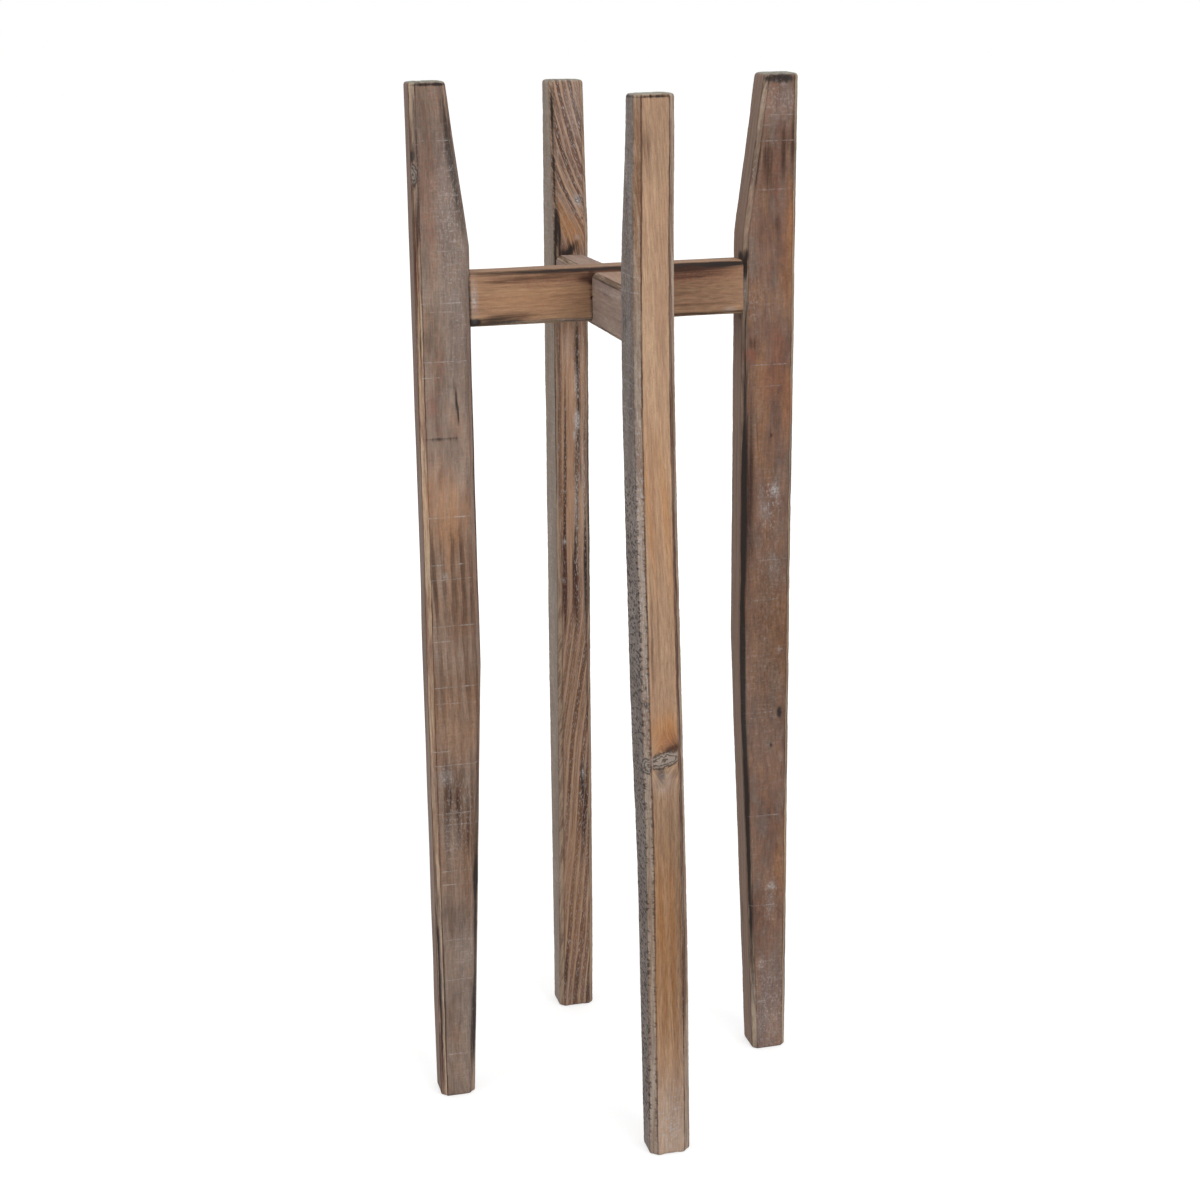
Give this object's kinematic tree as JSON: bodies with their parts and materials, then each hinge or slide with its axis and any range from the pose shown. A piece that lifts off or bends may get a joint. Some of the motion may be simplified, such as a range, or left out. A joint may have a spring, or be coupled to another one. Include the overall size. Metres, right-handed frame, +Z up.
{
  "type": "plant stand",
  "caption": "Tall narrow wooden plant stand: tapered legs joined in two pairs by crossing rails, with room for a pot between the leg tops.",
  "frame": {"origin": "on the floor, midway between the four feet", "axes": "+Z up; +X from the left leg to the right leg; +Y from the front leg to the back leg"},
  "size_m": [0.279, 0.279, 0.7622],
  "materials": {
    "leg_wood": "torched and brushed fir with a thin grey wash, matt",
    "rail_wood": "torched and brushed fir, warm tan, matt",
    "dowel_wood": "bare beech with glue flutes, matt"
  },
  "bodies": {
    "front_back_frame": {"leg_front": "leg_wood", "leg_back": "leg_wood", "cross_rail": "rail_wood", "dowel_front_upper": "dowel_wood", "dowel_front_lower": "dowel_wood", "dowel_back_upper": "dowel_wood", "dowel_back_lower": "dowel_wood"},
    "left_right_frame": {"leg_left": "leg_wood", "leg_right": "leg_wood", "through_rail": "rail_wood", "dowel_left_upper": "dowel_wood", "dowel_left_lower": "dowel_wood", "dowel_right_upper": "dowel_wood", "dowel_right_lower": "dowel_wood"}
  },
  "joints": [
    {"name": "frame_lift", "type": "slide", "parent": "front_back_frame", "child": "left_right_frame", "axis": [0, 0, 1], "range_m": [0, 0.045]}
  ]
}
